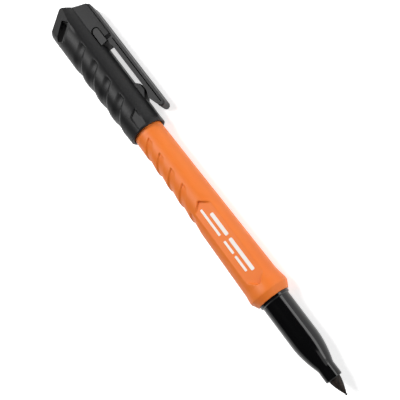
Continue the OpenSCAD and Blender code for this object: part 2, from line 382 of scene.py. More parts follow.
@dataclass(frozen=True)
class WaveRow:
    """A row of finger waves, moulded the same on the crown's side and below.

    Each wave has a steep wall and a floor that rises away from it. The walls sweep
    towards the nib on the way down the side that faces away from the clip.
    """

    first_wall: float       # station of the first wall, at its top
    pitch: float            # from one wall to the next
    count: int
    top: float              # degrees down from the crown at which the waves begin
    sweep: float            # how far a wall moves towards the nib on its way down
    rises_to_cap: bool      # whether the floors rise towards the cap's end
    run_top: float          # length of a floor at the top
    run_low: float          # and at the bottom
    wall_top: float         # length of a wall's slope at the top
    wall_low: float         # and at the bottom
    depth: float
    rim: float = 2.6        # degrees over which a wave's top edge falls
    flat: float = 0.0       # share of a floor that is level before it rises
    last_top: float | None = None   # where the last wave begins, if lower down

    def depth_at(self, station: float, down: float) -> float:
        """Gives the depth of the waves at a point.

        Args:
            station: Station of the point.
            down: Degrees from the crown towards the side that faces away from the clip.

        Returns:
            The depth below the plain surface.
        """
        deepest = 0.0
        share = min(max((down - self.top) / (90 - self.top), 0.0), 1.0)
        run = mix(self.run_top, self.run_low, share)
        slope = mix(self.wall_top, self.wall_low, share)
        for i in range(self.count):
            last = i == self.count - 1 and self.last_top is not None
            top = self.last_top if last else self.top
            rim = ramp(down, top, top + self.rim * (4 if last else 1))
            behind = station - (self.first_wall + i * self.pitch - self.sweep * share)
            along = behind if self.rises_to_cap else -behind
            if along < 0:
                height = ramp(along, -slope, 0)
            elif self.flat:
                height = ramp(-along, -run, -self.flat * run)
            else:
                height = (1 - along / run) * ramp(-along, -run, -0.8 * run) if along < run else 0.0
            deepest = max(deepest, self.depth * rim * height)
        return deepest


def degrees_down(y: float, z: float) -> float:
    """Gives the degrees from the nearer of crown and belly to the side without the clip."""
    return math.degrees(math.atan2(-y, abs(z)))


# ---------------------------------------------------------------- finishes


def srgb(code: str) -> tuple[float, float, float, float]:
    """Turns an sRGB hex value into the linear colour that a shader takes."""
    def linear(channel: int) -> float:
        """Turns one channel, from 0 to 255."""
        c = channel / 255
        return c / 12.92 if c <= 0.04045 else ((c + 0.055) / 1.055) ** 2.4
    r, g, b = (int(code[i:i + 2], 16) for i in (1, 3, 5))
    return linear(r), linear(g), linear(b), 1.0


def add_node(tree: bpy.types.NodeTree, kind: str, inputs: dict | None = None,
             links: dict | None = None, **settings) -> bpy.types.Node:
    """Adds one node with its settings, constants and links.

    Args:
        tree: The node tree.
        kind: The node's type.
        inputs: Constants for its sockets, by name or number.
        links: Output sockets that feed its sockets, by name or number.
        **settings: The node's own settings.

    Returns:
        The new node.
    """
    node = tree.nodes.new(kind)
    for name, value in settings.items():
        setattr(node, name, value)
    for name, value in (inputs or {}).items():
        node.inputs[name].default_value = value
    for name, output in (links or {}).items():
        tree.links.new(output, node.inputs[name])
    return node


def new_material(name: str) -> tuple[bpy.types.Material, bpy.types.NodeTree]:
    """Makes an empty node material and returns it with its node tree."""
    material = bpy.data.materials.new(name)
    material.use_nodes = True
    material.node_tree.nodes.clear()
    return material, material.node_tree


@dataclass(frozen=True)
class MouldedPlastic:
    """An injection moulded plastic with a textured or polished skin."""

    name: str
    colour: str
    cloud: str                    # the colour where the melt has flowed thinner
    roughness: float
    roughness_cloud: float        # how much rougher the skin is in places
    grain: float                  # size of the mould's spark texture, millimetres
    relief: float                 # depth of that texture, millimetres
    cloud_size: float = 14.0      # size of the clouds in the colour, millimetres
    ior: float = 1.49
    specular: float = 0.5
    subsurface: float = 0.0

    def material(self) -> bpy.types.Material:
        """Builds the material.

        Returns:
            A material that reads Object coordinates in metres.
        """
        material, tree = new_material(self.name)
        place = add_node(tree, "ShaderNodeTexCoord").outputs["Object"]
        clouds = add_node(tree, "ShaderNodeTexNoise",
                          {"Scale": 1 / (self.cloud_size * MM), "Detail": 3.0, "Roughness": 0.5},
                          {"Vector": place})
        colour = add_node(tree, "ShaderNodeMix", {6: srgb(self.colour), 7: srgb(self.cloud)},
                          {0: clouds.outputs["Fac"]}, data_type="RGBA")
        rough = add_node(tree, "ShaderNodeMapRange",
                         {"To Min": self.roughness, "To Max": self.roughness + self.roughness_cloud},
                         {"Value": clouds.outputs["Fac"]})
        grain = add_node(tree, "ShaderNodeTexNoise",
                         {"Scale": 1 / (self.grain * MM), "Detail": 2.0, "Roughness": 0.6},
                         {"Vector": place})
        bump = add_node(tree, "ShaderNodeBump", {"Strength": 1.0, "Distance": self.relief * MM},
                        {"Height": grain.outputs["Fac"]})
        shader = add_node(tree, "ShaderNodeBsdfPrincipled",
                          {"IOR": self.ior, "Specular IOR Level": self.specular,
                           "Subsurface Weight": self.subsurface, "Subsurface Scale": 1.2 * MM},
                          {"Base Color": colour.outputs[2], "Roughness": rough.outputs["Result"],
                           "Normal": bump.outputs["Normal"]})
        add_node(tree, "ShaderNodeOutputMaterial", links={"Surface": shader.outputs["BSDF"]})
        return material


@dataclass(frozen=True)
class BondedFibre:
    """Bundled polyester fibres that run along the marker, soaked with ink."""

    name: str
    ink: str
    fibre: str
    pitch: float                  # width of a bundle of fibres, millimetres
    relief: float                 # depth between bundles, millimetres
    roughness: float = 0.62
    stretch: float = 16.0         # how much longer than wide a bundle looks

    def material(self) -> bpy.types.Material:
        """Builds the material.

        Returns:
            A material whose streaks run along X.
        """
        material, tree = new_material(self.name)
        place = add_node(tree, "ShaderNodeTexCoord").outputs["Object"]
        drawn = add_node(tree, "ShaderNodeMapping", {"Scale": (1 / self.stretch, 1.0, 1.0)},
                         {"Vector": place})
        streaks = add_node(tree, "ShaderNodeTexNoise",
                           {"Scale": 1 / (self.pitch * MM), "Detail": 4.0, "Roughness": 0.65},
                           {"Vector": drawn.outputs["Vector"]})
        contrast = add_node(tree, "ShaderNodeMapRange",
                            {"From Min": 0.42, "From Max": 0.74}, {"Value": streaks.outputs["Fac"]})
        colour = add_node(tree, "ShaderNodeMix", {6: srgb(self.ink), 7: srgb(self.fibre)},
                          {0: contrast.outputs["Result"]}, data_type="RGBA")
        bump = add_node(tree, "ShaderNodeBump", {"Strength": 1.0, "Distance": self.relief * MM},
                        {"Height": streaks.outputs["Fac"]})
        shader = add_node(tree, "ShaderNodeBsdfPrincipled",
                          {"IOR": 1.5, "Roughness": self.roughness,
                           "Specular IOR Level": 0.25},
                          {"Base Color": colour.outputs[2], "Normal": bump.outputs["Normal"]})
        add_node(tree, "ShaderNodeOutputMaterial", links={"Surface": shader.outputs["BSDF"]})
        return material


# Polypropylene moulded against a satin steel: clear orange with a soft, wide highlight.
BARREL_SKIN = MouldedPlastic("satin_orange_polypropylene", "#EF8030", "#EC7629", 0.45, 0.06,
                             grain=0.35, relief=0.012, subsurface=0.08, specular=0.36)
# Polypropylene from a polished mould: deep black that mirrors the lamps as sharp strips.
SECTION_SKIN = MouldedPlastic("polished_black_polypropylene", "#060607", "#09090A", 0.09, 0.04,
                              grain=3.0, relief=0.002, cloud_size=20.0, specular=0.34)
# ABS from a spark eroded mould: charcoal with a fine grain that spreads the highlight.
CAP_SKIN = MouldedPlastic("spark_textured_charcoal_abs", "#0D0D0E", "#121213", 0.43, 0.08,
                          grain=0.30, relief=0.016, cloud_size=10.0, specular=0.30)
# Acetal from a coarser mould: a touch rougher and greyer than the cap, so the clip reads apart.
CLIP_SKIN = MouldedPlastic("textured_black_acetal", "#151516", "#1B1B1C", 0.46, 0.10,
                           grain=0.38, relief=0.022, cloud_size=6.0, specular=0.36)
# Natural polyethylene: milky and waxy, with light going a little way in.
LINER_SKIN = MouldedPlastic("natural_polyethylene", "#E8E6DC", "#DEDCD0", 0.35, 0.06,
                            grain=0.8, relief=0.004, ior=1.51, subsurface=0.35)
# Thin polypropylene film: smooth, pale and slightly cloudy over the fibres that it wraps.
FILM_SKIN = MouldedPlastic("clear_film_wrap", "#D8DCE0", "#CACFD4", 0.18, 0.05,
                           grain=2.0, relief=0.01, cloud_size=8.0)
# Pad printing ink: matt white, slightly uneven where it has taken to the barrel.
PRINT_SKIN = MouldedPlastic("white_pad_printing_ink", "#F6F1EC", "#EFE6DE", 0.55, 0.08,
                            grain=0.25, relief=0.004, cloud_size=3.0)
# Polyester rod soaked with black ink: brown-black, with dry fibres that show as paler streaks.
NIB_FIBRE = BondedFibre("ink_soaked_polyester_nib", "#080605", "#38291F", pitch=0.3, relief=0.09)
# Crimped polyester of the reservoir: the same ink in a looser, softer bundle.
RESERVOIR_FIBRE = BondedFibre("ink_soaked_polyester_wadding", "#17161C", "#3A3844", pitch=0.4,
                              relief=0.12, roughness=0.8)


def dress(piece: bpy.types.Object, finish: MouldedPlastic | BondedFibre) -> None:
    """Gives every face of a piece one finish.

    Args:
        piece: The piece.
        finish: Its finish.
    """
    material = bpy.data.materials.get(finish.name) or finish.material()
    piece.data.materials.clear()
    piece.data.materials.append(material)


def complete(piece: bpy.types.Object, lie: Lie, finish: MouldedPlastic | BondedFibre,
             smooth_to: float) -> None:
    """Shades a modelled piece, brings it to the row frame and gives it its finish.

    Args:
        piece: The piece on the workbench.
        lie: Where the marker lies.
        finish: The piece's finish.
        smooth_to: Degrees up to which an edge is shaded smooth.
    """
    shade(piece, smooth_to)
    lie.lay(piece)
    dress(piece, finish)


def report(piece: bpy.types.Object) -> None:
    """Writes a piece's name and size to the log."""
    log.info("%s: %d faces, %.1f mm long", piece.name, len(piece.data.polygons),
             piece.dimensions.x / MM)


# ---------------------------------------------------------------- barrel


@dataclass
class Barrel:
    """The orange barrel: collar, label panel, finger waves and plain rear end."""

    lie: Lie
    land: float = 1.0             # length of the collar's straight land
    chamfer: float = 2.1          # length of the chamfer in front of it
    front_r: float = 6.2
    mouth_r: float = 4.97
    rear_r: float = 4.8
    floor: float = 1.5
    seat_r: float = 4.3           # radius of the seat for the section's skirt
    seat_wall_r: float = 5.3      # radius of the mouth's rim round that seat
    play: float = 0.1             # between the bore and the reservoir's wrap
    fit: float = 0.03
    panel_gap: float = 2.0        # from the collar's land to the panel
    panel_len: float = 30.2
    panel_w: float = 6.3
    panel_tip: float = 1.1
    panel_depth: float = 0.8
    print_depth: float = 0.03

    def __post_init__(self) -> None:
        """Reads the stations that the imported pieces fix."""
        self.mouth, self.end = self.lie.span("barrel")
        self.cap_mouth, _ = self.lie.span("cap_shell")
        _, self.skirt_end = self.lie.span("front_section")
        self.collar = self.mouth + self.chamfer
        self.land_end = self.collar + self.land
        self.panel = self.land_end + self.panel_gap
        self.collar_r = self.lie.radius("barrel")
        self.waves = WaveRow(self.cap_mouth - 3.2, -5.95, 5, top=3.5, sweep=4.9,
                             rises_to_cap=False, run_top=2.3, run_low=5.0, wall_top=0.25,
                             wall_low=0.9, depth=0.42, last_top=42.0)

    def radius(self, station: float) -> float:
        """Gives the radius of the plain taper at a station."""
        share = (station - self.collar) / (self.cap_mouth - self.collar)
        return mix(self.front_r, self.mouth_r, share)

    def panel_relief(self, station: float, y: float, z: float) -> float:
        """Gives the depth of the flat floored label panel at a point."""
        along = station - self.panel
        point = self.panel_w * 0.4
        half = min(self.panel_w / 2,
                   mix(self.panel_tip / 2, self.panel_w / 2, along / point),
                   (self.panel_len - along) / point * self.panel_w / 2)
        inside = ramp(half - abs(y), -0.12, 0.12)
        if inside == 0 or along < -0.3:
            return 0.0
        radius = math.hypot(y, z)
        floor = (self.radius(station) - self.panel_depth) / max(abs(z) / radius, 0.2)
        return inside * ramp(along, -0.1, 0.15) * max(radius - floor, 0.0)

    def flank_relief(self, station: float, down: float) -> float:
        """Gives how far the flank beside the clip lies below the round surface.

        Args:
            station: Station of the point.
            down: Degrees from the crown, negative towards the clip.

        Returns:
            The depth, which rises from a crisp border beside the crown.
        """
        fork = ramp(station, self.panel + self.panel_len + 3.0, self.panel + self.panel_len - 1.0)
        border = mix(16.0, 40.0, fork)
        across = (-down - border) / (90 - border)
        deep = mix(0.34, 0.14, ramp(station, self.land_end, self.cap_mouth))
        ends = ramp(station, self.land_end + 1.0, self.land_end + 4.0)
        if across <= 0:
            return 0.0
        return ends * deep * (1 - math.exp(-across / mix(0.16, 0.5, fork)))

    def relief(self, station: float, y: float, z: float) -> float:
        """Gives the depth of everything that is moulded into the barrel's outside."""
        if station < self.land_end or math.hypot(y, z) < self.mouth_r - 0.02:
            return 0.0
        down = degrees_down(y, z)
        waves = self.waves.depth_at(station, down) if down > 0 else 0.0
        return max(waves, self.flank_relief(station, down), self.panel_relief(station, y, z))

    def build(self) -> bpy.types.Object:
        """Models the barrel.

        Returns:
            The finished barrel in the row frame.
        """
        bore = self.lie.radius("reservoir_film") + self.play
        skirt = self.seat_r + self.fit
        outline = [(self.end - self.floor, 0.0), (self.end - self.floor, bore),
                   (self.skirt_end, bore), (self.skirt_end, skirt), (self.mouth, skirt),
                   (self.mouth, self.seat_wall_r), (self.collar, self.collar_r),
                   (self.land_end, self.collar_r),
                   *stretch((self.land_end + 1.8, self.front_r - 0.01),
                            (self.cap_mouth + 0.1, self.mouth_r), 0.22),
                   (self.end - 0.6, self.rear_r), (self.end, self.rear_r - 0.6), (self.end, 0.0)]
        barrel = turn("orange_barrel", outline, steps=208)
        round_edges(barrel, 0.14, from_degrees=12)
        press_relief(barrel, self.relief, self.panel_depth + 0.1)
        complete(barrel, self.lie, BARREL_SKIN, 50)
        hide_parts("barrel")
        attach(barrel, "barrel")
        return barrel

    def bar(self, front: float, rear: float, y: float, height: float) -> bpy.types.Object:
        """Models one printed bar that lies on the panel's floor.

        Args:
            front: Station of its front end.
            rear: Station of its rear end.
            y: Height of its middle towards the clip.
            height: How tall it is across the panel.

        Returns:
            The bar, with round ends.
        """
        middle = (front + rear) / 2
        floor = self.radius(middle) - self.panel_depth
        piece = block("bar", front, rear, (y - height / 2, floor - 0.02),
                      (y + height / 2, floor + self.print_depth))
        bevel_where(piece, lambda a, b: abs(a.z - b.z) > self.print_depth / 2, height * 0.3, 4)
        slope = math.atan2(self.front_r - self.mouth_r, self.cap_mouth - self.collar)
        piece.data.transform(Matrix.Translation(at(middle, y, floor))
                             @ Matrix.Rotation(-slope, 4, "Y")
                             @ Matrix.Translation(-at(middle, y, floor)))
        return piece


# ---------------------------------------------------------------- writing end


@dataclass
class WritingEnd:
    """The black front section with its snap ring, and the fibre nib in its neck."""

    lie: Lie
    neck_len: float = 4.0
    neck_r: float = 2.68
    ogive_len: float = 9.9
    section_r: float = 4.47
    snap_len: float = 0.9
    skirt_r: float = 4.3
    skirt_wall: float = 0.7
    fit: float = 0.03
    tip_ball: float = 0.42        # radius that the nib's tip is ground to
    cone: float = 1.5             # how full the nib's cone is

    def __post_init__(self) -> None:
        """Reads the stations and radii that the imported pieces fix."""
        self.neck, self.skirt_end = self.lie.span("front_section")
        self.mouth, _ = self.lie.span("barrel")
        _, self.nib_end = self.lie.span("nib")
        self.nib_r = self.lie.radius("nib")
        self.snap_r = self.lie.radius("front_section")

    def ogive(self, share: float) -> tuple[float, float]:
        """Gives a point of the ogive, from 0 at the neck to 1 at the straight part."""
        start = self.neck + self.neck_len
        swell = (1 - math.cos(math.pi * min(share / 0.2, 1.0))) / 2
        curve = math.sin(math.pi / 2 * share) ** 0.92
        radius = self.neck_r + (self.section_r - self.neck_r) * curve * mix(0.82, 1.0, swell)
        return start + self.ogive_len * share, radius

    def build_section(self) -> bpy.types.Object:
        """Models the front section.

        Returns:
            The finished section in the row frame.
        """
        bore = self.nib_r + self.fit
        straight = self.mouth - self.snap_len - 0.3
        inner = self.skirt_r - self.skirt_wall
        outline = [(self.neck, bore), (self.neck, self.neck_r - 0.18),
                   (self.neck + 0.22, self.neck_r), (self.neck + 1.0, self.neck_r),
                   (self.neck + self.neck_len - 0.4, self.neck_r - 0.03),
                   *[self.ogive(i / 24) for i in range(25)],
                   *stretch((self.neck + self.neck_len + self.ogive_len + 1, self.section_r),
                            (straight - 0.05, self.section_r), 2.0),
                   (straight + 0.1, self.section_r + 0.03), (straight + 0.3, self.snap_r - 0.1),
                   (straight + 0.42, self.snap_r), (self.mouth - 0.12, self.snap_r),
                   (self.mouth, self.snap_r - 0.1), (self.mouth, self.skirt_r),
                   (self.skirt_end, self.skirt_r), (self.skirt_end, inner),
                   (self.mouth - 4, inner), (self.mouth - 4, bore), (self.neck, bore)]
        section = turn("black_front_section", outline, steps=160)
        complete(section, self.lie, SECTION_SKIN, 28)
        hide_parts("front_section")
        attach(section, "barrel")
        return section

    def nib_radius(self, station: float) -> float:
        """Gives the nib's radius at a station in front of the neck."""
        cone = self.nib_r * (1 - (1 - min(station / self.neck, 1.0)) ** self.cone)
        ball = math.sqrt(max(2 * self.tip_ball * station - station * station, 0.0))
        return min(max(cone, ball if station < self.tip_ball else 0.0), self.nib_r)

    def build_nib(self) -> bpy.types.Object:
        """Models the nib, with fibres that stand a little proud of each other.

        Returns:
            The finished nib in the row frame.
        """
        stations = [self.neck * (i / 44) ** 1.4 for i in range(45)]
        outline = [(s, self.nib_radius(s)) for s in stations]
        outline += [(self.nib_end, self.nib_r), (self.nib_end, 0.0)]
        nib = turn("fibre_nib", outline, steps=144)

        def fibres(station: float, y: float, z: float) -> float:
            """Gives the depth between bundles, which fades out inside the neck."""
            turned = math.atan2(y, z)
            ridge = math.sin(34 * turned + 1.7 * math.sin(station * 1.3))
            fade = ramp(station, self.neck, self.neck - 0.4) * ramp(station, 0.05, 0.8)
            return fade * 0.035 * (1 + ridge) / 2

        press_relief(nib, fibres, 0.05)
        complete(nib, self.lie, NIB_FIBRE, 60)
        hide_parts("nib")
        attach(nib, "barrel")
        return nib


# ---------------------------------------------------------------- cap and clip


@dataclass
class ClipSizes:
    """Sizes that the cap and its clip share."""

    lie: Lie
    out: float = 10.13            # height of the clip's outer face above the axis
    plate: float = 0.8
    under: float = 7.68           # height of the arm's inner face
    flange: float = 1.3
    width: float = 6.0
    groove: float = 1.2
    saddle_w: float = 7.8
    saddle_draft: float = 0.93    # share of its width that the saddle keeps at its top
    flat: float = 5.7             # height of the flat under the clip
    heel_low: float = 5.08
    heel_high: float = 7.38
    heel_len: float = 5.3
    apex: float = 1.6             # height of the cap's point towards the clip
    rear: float = 4.05            # how far the plate's rear end is from the cap's point

    def __post_init__(self) -> None:
        """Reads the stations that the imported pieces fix."""
        self.cap_mouth, self.cap_end = self.lie.span("cap_shell")
        self.tip = self.lie.span("clip_arm")[0] + 0.5
        hinge = next(j for j in frame["joints"] if j["name"] == "clip_flex")
        self.root = (self.lie.tip.x - hinge["pos_m"][0]) / MM
        self.saddle = self.root + 1.7
        self.saddle_top = self.out - self.plate
        self.plate_end = self.cap_end - self.rear


@dataclass
class Cap:
    """The charcoal cap: socket, finger waves, saddle, ramp, roof end and lanyard slot."""

    lie: Lie
    clip: ClipSizes
    radius: float = 6.42
    mouth_r: float = 6.12
    bore_r: float = 5.06
    stop_r: float = 4.89          # radius at which the bore grips the barrel's rear end
    liner_r: float = 4.2
    fit: float = 0.03
    heel_gap: float = 0.32        # around the clip's heel in the saddle
    facet_lean: float = 15.0      # degrees that the end facet leans away from the clip
    facet_fall: float = 8.0       # degrees that it falls towards the cap's end
    slot_slant: float = 33.0      # degrees that the lanyard slot slants
    recess_len: float = 5.7       # length of the flat recess at the mouth
    recess_floor: float = 5.88    # height of its floor at the mouth
    recess_fall: float = 0.035    # how much its floor falls away from the mouth

    def __post_init__(self) -> None:
        """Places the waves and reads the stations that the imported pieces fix."""
        self.mouth, self.end = self.lie.span("cap_shell")
        self.liner, self.liner_end = self.lie.span("cap_liner")
        _, self.barrel_end = self.lie.span("barrel")
        self.waves = WaveRow(self.mouth + 11.35, 7.1, 4, top=-10.0, sweep=6.1,
                             rises_to_cap=True, run_top=2.9, run_low=4.8, wall_top=0.5,
                             wall_low=2.0, depth=0.36, flat=0.3)

    def relief(self, station: float, y: float, z: float) -> float:
        """Gives the depth of everything that is moulded into the cap's round outside."""
        if math.hypot(y, z) < self.mouth_r - 0.3 or station < self.mouth + 0.6:
            return 0.0
        down = degrees_down(y, z)
        across = (-down - 17.0) / 73.0
        flank = 0.0
        if across > 0:
            ends = ramp(station, self.mouth + 0.6, self.mouth + 2.5)
            flank = 0.28 * ends * (1 - math.exp(-across / 0.16))
        return max(self.waves.depth_at(station, down), flank, self.mouth_flat(station, y, z))

    def mouth_flat(self, station: float, y: float, z: float) -> float:
        """Gives the depth of the flat recess at the mouth, which ends in a slant."""
        rear = self.mouth + self.recess_len + 0.55 * (y - 0.4)
        inside = (ramp(y, -1.25, -0.95) * ramp(-y, -1.95, -1.7)
                  * ramp(-station, -rear - 0.2, -rear + 0.1))
        radius = math.hypot(y, z)
        floor = self.recess_floor - self.recess_fall * (station - self.mouth)
        return inside * max(radius - floor / max(abs(z) / radius, 0.2), 0.0)

    def roof(self) -> bpy.types.Object:
        """Models the space that the roof shaped end leaves for the cap.

        Returns:
            A tall prism with a rounded point.
        """
        far = self.radius + 3
        c = self.clip
        slope = (c.out - c.apex) / (self.end - c.plate_end)
        low_y = -self.radius - 1
        outline = [(self.mouth - 1, low_y), (self.end - 4.9, low_y), (self.end - 4.35, -6.4),
                   (self.end, c.apex), (self.end - (c.out + 2 - c.apex) / slope, c.out + 2),
                   (self.mouth - 1, c.out + 2)]
        roof = slab("roof", outline, 2 * far)
        round_edges(roof, 0.5, 4, from_degrees=10)
        return roof

    def end_facet(self) -> bpy.types.Object:
        """Models what a flat facet takes off the crown around the lanyard slot."""
        facet = slab("facet", [(self.end - 5.5, 4.5), (self.end + 2, 4.5), (self.end + 2, -9.0),
                               (self.end - 13.2, -9.0)], 18.0)
        above = block("above", -20, 20, (-20, 0), (20, 20))
        pick(above)
        above.rotation_euler = (math.radians(self.facet_lean), -math.radians(self.facet_fall), 0.0)
        above.location = at(self.end - 5.4, 1.5, 6.2)
        bpy.ops.object.transform_apply(location=True, rotation=True, scale=True)
        combine(facet, Cut.KEEP, above)
        return facet

    def saddle(self) -> bpy.types.Object:
        """Models the saddle that carries the clip."""
        c = self.clip
        outline = [(c.saddle, 0.0), (self.end + 1, 0.0), (self.end + 1, c.saddle_top),
                   (c.saddle, c.saddle_top)]
        saddle = slab("saddle", outline, c.saddle_w)
        bevel_where(saddle, lambda a, b: max(a.x, b.x) > -c.saddle - 0.01
                    and abs(a.z - b.z) < 0.01 and abs(a.y - b.y) > 0.01, 0.85, 1)
        for vertex in saddle.data.vertices:
            if vertex.co.y > c.saddle_top - 0.01:
                vertex.co.z *= c.saddle_draft
        round_edges(saddle, 0.18, 2)
        return saddle

    def ramp_block(self) -> bpy.types.Object:
        """Models the ramp below the clip's free end."""
        c = self.clip
        front = c.tip + 5.6
        top = c.under - 0.3
        outline = [(front, c.flat - 1), (front, c.flat), (front + 2.4, top), (front + 4.8, top),
                   (front + 6.6, c.flat), (front + 6.6, c.flat - 1)]
        rise = slab("ramp", outline, c.width * 0.8)
        round_edges(rise, 0.3, 3, from_degrees=10)
        return rise

    def heel_window(self) -> bpy.types.Object:
        """Models the slot across the saddle that the clip's heel fills."""
        c = self.clip
        low, high = c.heel_low - self.heel_gap, c.heel_high + self.heel_gap
        arc = round_end(c.saddle + c.heel_len + self.heel_gap, low, high)
        return slab("window", [(c.saddle - 1, low), *arc, (c.saddle - 1, high)], c.saddle_w + 2)

    def lanyard_slot(self) -> list[bpy.types.Object]:
        """Models the slanted slot through the cap's solid end, and its wide rim."""
        slope = math.radians(self.slot_slant)
        along = Vector((math.sin(slope), math.cos(slope)))
        across = Vector((math.cos(slope), -math.sin(slope)))
        centre = Vector((self.end - 6.6, -2.1))
        cuts = []
        for name, aside, wide, long, low in (("slot", 0.3, 1.9, 6.2, -9.0),
                                             ("rim", 0.0, 2.7, 6.8, 4.5)):
            corners = [centre + across * (aside + wide / 2 * a) + along * long / 2 * b
                       for a, b in ((-1, -1), (1, -1), (1, 1), (-1, 1))]
            cut = slab(name, [tuple(corner) for corner in corners], 18.0)
            if name == "rim":
                combine(cut, Cut.REMOVE, block("belly", self.mouth, self.end + 9, (-15, -low),
                                               (15, low)))
            round_edges(cut, 0.3, 2)
            cuts.append(cut)
        return cuts

    def socket(self) -> bpy.types.Object:
        """Models the space inside the cap: the barrel's socket and the liner's well."""
        lead_in = self.bore_r + 0.25
        well = self.liner_r + self.fit
        outline = [(self.mouth - 1, 0.0), (self.mouth - 1, lead_in), (self.mouth, lead_in),
                   (self.mouth + 0.3, self.bore_r), (self.barrel_end, self.stop_r),
                   (self.liner + 0.8, self.stop_r), (self.liner + 0.8, well),
                   (self.liner_end + 1, well), (self.liner_end + 1, 0.0)]
        return turn("socket", outline, steps=96)

    def build(self) -> bpy.types.Object:
        """Models the cap.

        Returns:
            The finished cap in the row frame.
        """
        c = self.clip
        outline = [(self.mouth, 0.0), (self.mouth, self.mouth_r - 0.2),
                   (self.mouth + 0.25, self.mouth_r),
                   *stretch((self.mouth + 0.6, self.mouth_r), (self.mouth + 7, self.radius), 0.2),
                   *stretch((self.mouth + 7.2, self.radius), (self.end - 11, self.radius), 0.19),
                   (self.end + 2, self.radius), (self.end + 2, 0.0)]
        cap = turn("charcoal_cap", outline, steps=192)
        press_relief(cap, self.relief, 0.7)
        flat = block("flat", c.tip - 3, c.saddle, (c.flat, -c.width / 2 - 1),
                     (c.out, c.width / 2 + 1))
        combine(cap, Cut.REMOVE, flat)
        combine(cap, Cut.ADD, self.saddle(), self.ramp_block())
        combine(cap, Cut.KEEP, self.roof())
        combine(cap, Cut.REMOVE, self.end_facet(), self.heel_window(),
                *self.lanyard_slot(), self.socket())
        complete(cap, self.lie, CAP_SKIN, 30)
        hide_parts("cap_shell")
        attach(cap, "cap")
        return cap


@dataclass
class PocketClip:
    """The sprung clip: one I-shaped moulding from its heel in the saddle to its hook."""

    lie: Lie
    sizes: ClipSizes
    nose_low: float = 7.8         # height of the round nose's underside
    heel_narrow: float = 0.86     # share of the heel's width at its bottom
    heel_draft: float = 0.055     # share that it gains with each millimetre upwards
    hook: Outline = field(default_factory=lambda: [
        (1.3, 0.35), (2.1, 0.15), (3.0, -0.3), (3.8, -0.62), (4.5, -0.77), (5.2, -0.75),
        (5.9, -0.58), (6.6, -0.25), (7.2, -0.05), (7.7, 0.0)])

    def build(self) -> bpy.types.Object:
        """Models the clip.

        Returns:
            The finished clip in the row frame, with loops of edges cut across its root.
        """
        c = self.sizes
        top = c.saddle_top + 0.02
        slope = (c.out - c.apex) / (c.cap_end - c.plate_end)
        rear = c.plate_end - 0.05
        plate = slab("pocket_clip", [(c.tip + 1.0, top), (rear + c.plate / slope, top),
                                     (rear + 0.3, c.out - 0.45), (rear - 0.3, c.out - 0.1),
                                     (rear - 0.9, c.out), (c.tip + 1.0, c.out)], c.width)
        web = slab("web", [(c.tip + 1.3, c.under + 0.5), (c.saddle - 0.02, c.under + 0.5),
                           (c.saddle - 0.02, top + 0.1), (c.tip + 1.3, top + 0.1)],
                   c.width - 2 * c.groove)
        nose_r = (c.out - self.nose_low) / 2
        nose = slab("nose", [(c.tip + 1.7, c.out - 0.02), (c.tip + 1.7, self.nose_low + 0.02),
                             *[(c.tip + nose_r * (1 - math.sin(a)),
                                self.nose_low + nose_r * (1 - math.cos(a)))
                               for a in (math.radians(15 * i) for i in range(13))]],
                    c.width - 0.04)
        round_edges(nose, 0.5, 4)
        under = [(c.tip + away, c.under + lift) for away, lift in self.hook]
        flange = slab("flange", [(c.tip + 1.1, c.under + c.flange), *under,
                                 (c.root - 1.0, c.under), (c.root - 0.8, c.under - 0.3),
                                 (c.saddle - 0.02, c.under - 0.3),
                                 (c.saddle - 0.02, c.under + c.flange)], c.width - 0.3)
        combine(plate, Cut.ADD, web, nose, flange, *self.heel())
        round_edges(plate, 0.16, 2, from_degrees=35)
        cut_loops(plate, [c.root + 1.2 - 0.55 * i for i in range(8)])
        complete(plate, self.lie, CLIP_SKIN, 35)
        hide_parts("clip_heel", "clip_arm")
        self.lie.point(c.root + 1.2, c.out)
        self.lie.point(c.root - 2.8, c.out)
        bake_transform(plate)
        return plate

    def heel(self) -> list[bpy.types.Object]:
        """Models the heel block, and the neck that joins it to the arm."""
        c = self.sizes
        arc = round_end(c.saddle + c.heel_len, c.heel_low, c.heel_high)
        heel = slab("heel", [(c.saddle - 0.6, c.heel_low), *arc, (c.saddle - 0.6, c.heel_high)],
                    c.saddle_w - 0.4)
        for vertex in heel.data.vertices:
            vertex.co.z *= self.heel_narrow + self.heel_draft * (vertex.co.y - c.heel_low)
        neck = slab("neck", [(c.saddle - 0.75, c.flat + 0.6), (c.saddle - 0.55, c.flat + 0.3),
                             (c.saddle - 0.02, c.flat + 0.2), (c.saddle - 0.02, c.saddle_top),
                             (c.saddle - 0.75, c.saddle_top)], c.width - 0.3)
        return [heel, neck]


# ---------------------------------------------------------------- label print


@dataclass
class LabelPrint:
    """Plain white bars where such a marker carries its label, with nothing to read."""

    barrel: Barrel
    rows: tuple[tuple[float, float, tuple[tuple[float, float], ...]], ...] = (
        (1.0, 1.15, ((0.17, 0.44), (0.48, 0.86))),
        (-0.85, 0.75, ((0.08, 0.40), (0.47, 0.62), (0.65, 0.83))))

    def build(self) -> bpy.types.Object:
        """Prints the rows of bars on the label panel.

        Returns:
            The finished print in the row frame.
        """
        b = self.barrel
        bars = []
        for y, height, spans in self.rows:
            for rear, front in spans:
                bars.append(b.bar(b.panel + b.panel_len * (1 - front),
                                  b.panel + b.panel_len * (1 - rear), y, height))
        pick(*bars)
        bpy.ops.object.join()
        label = bpy.context.object
        label.name = label.data.name = "label_bars"
        complete(label, b.lie, PRINT_SKIN, 30)
        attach(label, "barrel")
        return label


# ---------------------------------------------------------------- studio


